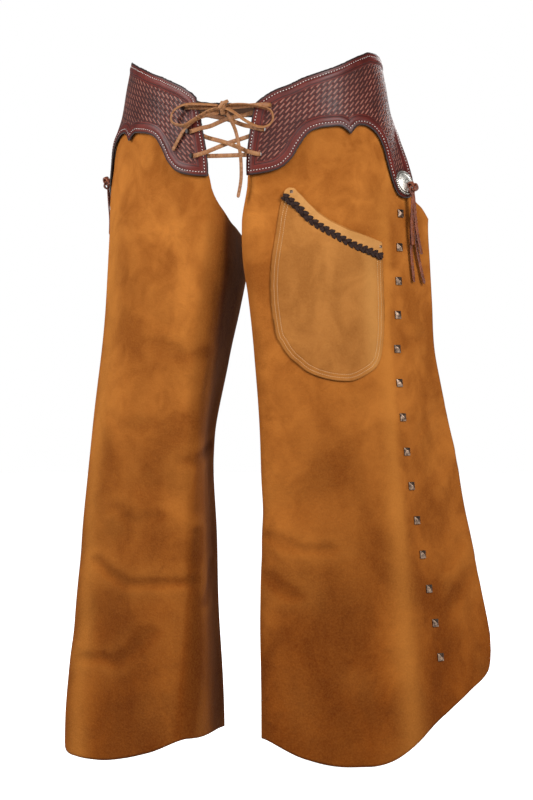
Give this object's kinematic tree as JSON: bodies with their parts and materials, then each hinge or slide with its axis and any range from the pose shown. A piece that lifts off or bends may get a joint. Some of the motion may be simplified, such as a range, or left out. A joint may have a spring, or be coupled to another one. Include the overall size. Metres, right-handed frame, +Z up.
{
  "type": "batwing chaps",
  "caption": "Open-seat suede riding leg covers with flared wings, hung from a stamped leather yoke laced in front and strapped behind.",
  "frame": {"origin": "middle of the hips, level with the top lace holes, where the wearer's waist holds the chaps up", "axes": "+X to the wearer's left, -Y to the wearer's front, +Z up"},
  "size_m": [0.6054, 0.285, 0.9997],
  "materials": {
    "suede": "rough-out cowhide, golden tan, napped and mottled",
    "pocket_suede": "lighter tan rough-out cowhide",
    "yoke_leather": "mahogany vegetable-tanned leather, basket stamped, glossy, dark dyed edges",
    "lace_leather": "flat tan latigo lace, satin",
    "braid_leather": "near-black braided lace",
    "thong_leather": "reddish-brown latigo thongs, satin",
    "strap_leather": "smooth mahogany harness leather",
    "stud_metal": "antique nickel pyramid studs",
    "silver_metal": "antiqued silver, engraved"
  },
  "bodies": {
    "root": {"leg_left": "suede", "yoke_left": "yoke_leather", "wing_stud_left_1": "stud_metal", "wing_stud_left_2": "stud_metal", "wing_stud_left_3": "stud_metal", "wing_stud_left_4": "stud_metal", "wing_stud_left_5": "stud_metal", "wing_stud_left_6": "stud_metal", "wing_stud_left_7": "stud_metal", "wing_stud_left_8": "stud_metal", "wing_stud_left_9": "stud_metal", "wing_stud_left_10": "stud_metal", "wing_stud_left_11": "stud_metal", "wing_stud_left_12": "stud_metal", "wing_stud_left_13": "stud_metal", "wing_stud_left_14": "stud_metal", "hip_concho_left": "silver_metal", "hip_thongs_left": "thong_leather", "leg_right": "suede", "yoke_right": "yoke_leather", "wing_stud_right_1": "stud_metal", "wing_stud_right_2": "stud_metal", "wing_stud_right_3": "stud_metal", "wing_stud_right_4": "stud_metal", "wing_stud_right_5": "stud_metal", "wing_stud_right_6": "stud_metal", "wing_stud_right_7": "stud_metal", "wing_stud_right_8": "stud_metal", "wing_stud_right_9": "stud_metal", "wing_stud_right_10": "stud_metal", "wing_stud_right_11": "stud_metal", "wing_stud_right_12": "stud_metal", "wing_stud_right_13": "stud_metal", "wing_stud_right_14": "stud_metal", "hip_concho_right": "silver_metal", "hip_thongs_right": "thong_leather", "thigh_pocket": "pocket_suede", "pocket_braid": "braid_leather", "pocket_stud_1": "stud_metal", "pocket_stud_2": "stud_metal", "front_lace": "lace_leather", "bow_loop_left": "lace_leather", "bow_loop_right": "lace_leather", "bow_tail_left": "lace_leather", "bow_tail_right": "lace_leather", "back_strap": "strap_leather", "back_buckle": "silver_metal"}
  },
  "joints": []
}
